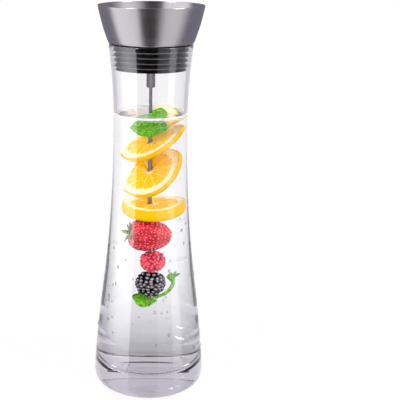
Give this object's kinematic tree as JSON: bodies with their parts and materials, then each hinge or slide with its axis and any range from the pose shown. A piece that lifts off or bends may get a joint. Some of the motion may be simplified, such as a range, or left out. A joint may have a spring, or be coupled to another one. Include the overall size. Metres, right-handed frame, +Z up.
{
  "type": "fruit infuser pitcher",
  "caption": "Tall waisted glass carafe with a steel pouring funnel on a finned silicone seal, and a rod under the lid that holds fruit in the water.",
  "frame": {"origin": "middle of the base, on the table", "axes": "+Z up along the carafe's axis, the picture is seen from -Y, the flap's hinge is at +Y"},
  "size_m": [0.0944, 0.0944, 0.32],
  "materials": {
    "clear_glass": "clear, polished",
    "black_silicone": "satin",
    "black_plastic": "matt",
    "brushed_steel": "brushed round the axis",
    "polished_steel": "polished",
    "mint_green": "leaf",
    "dark_berry": "glossy berry skin",
    "red_berry": "glossy berry skin",
    "orange_fruit": "wet flesh and peel"
  },
  "bodies": {
    "carafe": {"carafe_glass": "clear_glass"},
    "lid": {"silicone_seal": "black_silicone", "lid_core": "black_plastic", "pouring_funnel": "brushed_steel", "retaining_ring": "black_plastic", "flap_gasket": "black_silicone", "flap_hinge_pin": "polished_steel", "strainer_disc": "polished_steel", "skewer_socket": "polished_steel", "socket_nut": "polished_steel"},
    "flap": {"pour_flap": "brushed_steel"},
    "skewer": {"fruit_skewer": "polished_steel", "lower_mint_leaf": "mint_green", "lower_mint_sprig": "mint_green", "bramble_berry": "dark_berry", "raspberry": "red_berry", "strawberry": "red_berry", "strawberry_calyx": "mint_green", "lower_orange_slice": "orange_fruit", "middle_orange_slice": "orange_fruit", "top_orange_slice": "orange_fruit", "orange_wedge": "orange_fruit", "upper_mint_leaf": "mint_green", "upper_mint_tip": "mint_green"}
  },
  "joints": [
    {"name": "lid_lift", "type": "slide", "parent": "carafe", "child": "lid", "axis": [0, 0, 1], "range_m": [0, 0.24]},
    {"name": "flap_swing", "type": "hinge", "parent": "lid", "child": "flap", "pos_m": [0, 0.0212, 0.2973], "axis": [-1, 0, 0], "range_deg": [0, 80]},
    {"name": "skewer_turn", "type": "hinge", "parent": "lid", "child": "skewer", "pos_m": [0, 0, 0.2563], "axis": [0, 0, 1], "continuous": true}
  ]
}
